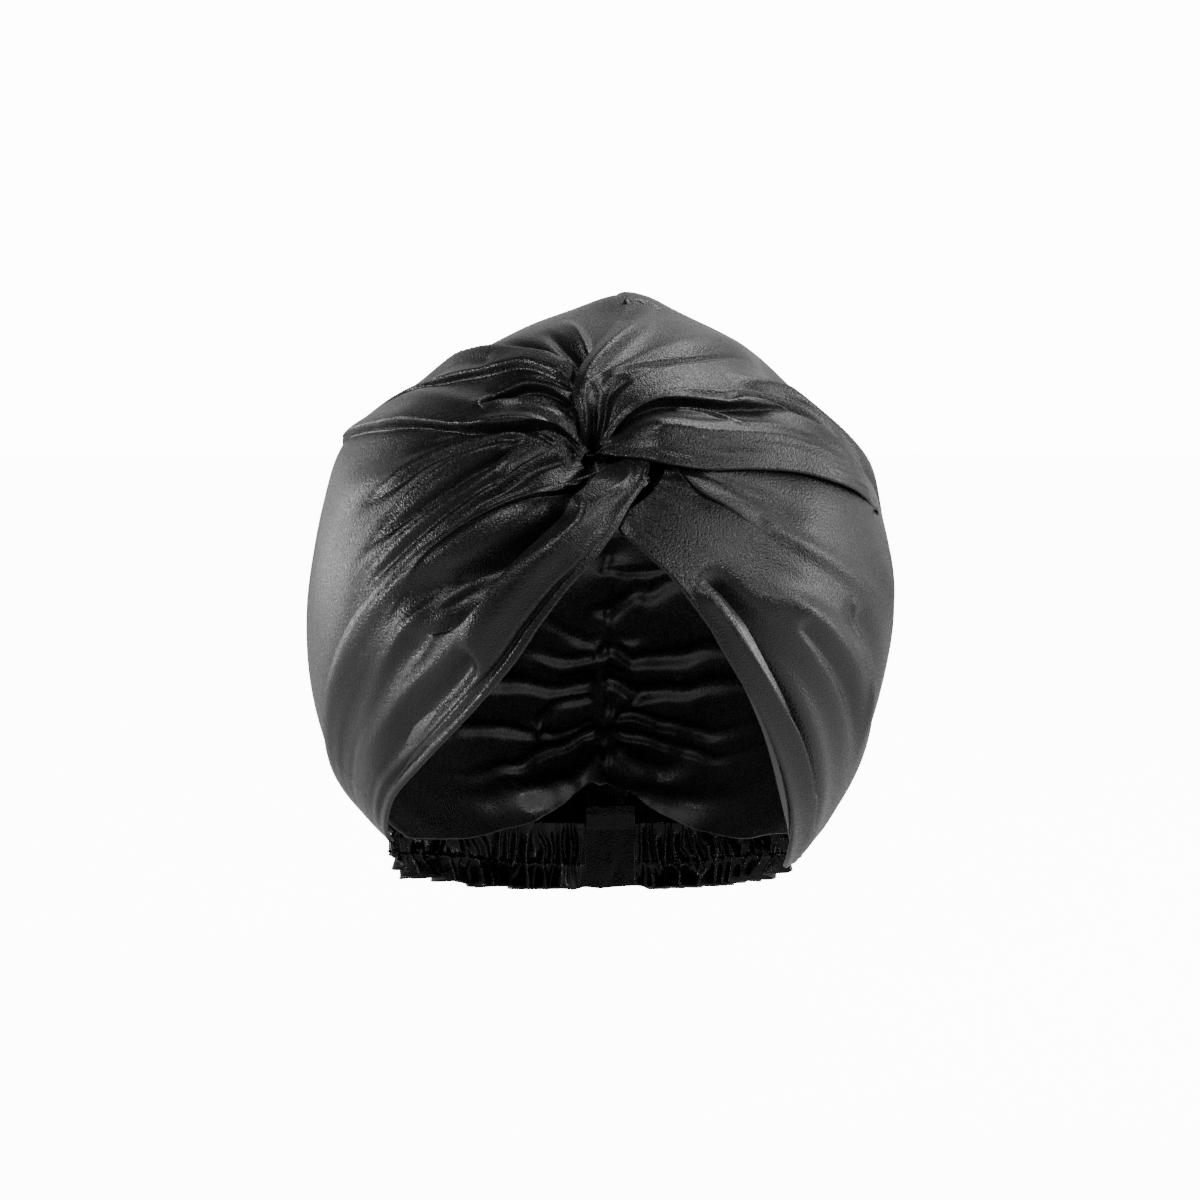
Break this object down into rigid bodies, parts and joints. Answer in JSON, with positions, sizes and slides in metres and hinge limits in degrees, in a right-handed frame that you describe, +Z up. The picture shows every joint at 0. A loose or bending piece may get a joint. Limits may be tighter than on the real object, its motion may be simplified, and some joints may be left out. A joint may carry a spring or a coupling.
{
  "type": "satin sleep cap",
  "caption": "Close-fitting satin sleep cap with crossed, pleated front panels, a gathered lining and an elastic casing at the nape.",
  "frame": {"origin": "middle of the head opening, between the two lower front corners and level with them", "axes": "+Z up, the front of the cap faces -Y, +X is on the right when the front is looked at"},
  "size_m": [0.2341, 0.2474, 0.2555],
  "materials": {
    "satin": "black satin with soft broad highlights",
    "lining_satin": "black satin, the duller side",
    "casing_satin": "black satin gathered over elastic"
  },
  "bodies": {
    "root": {"crown_left": "satin", "crown_right": "satin", "wrap_left": "satin", "wrap_right": "satin", "roll_right": "satin", "lining_left": "lining_satin", "lining_right": "lining_satin", "nape_casing_left": "casing_satin", "nape_casing_right": "casing_satin", "nape_tab": "casing_satin"}
  },
  "joints": []
}
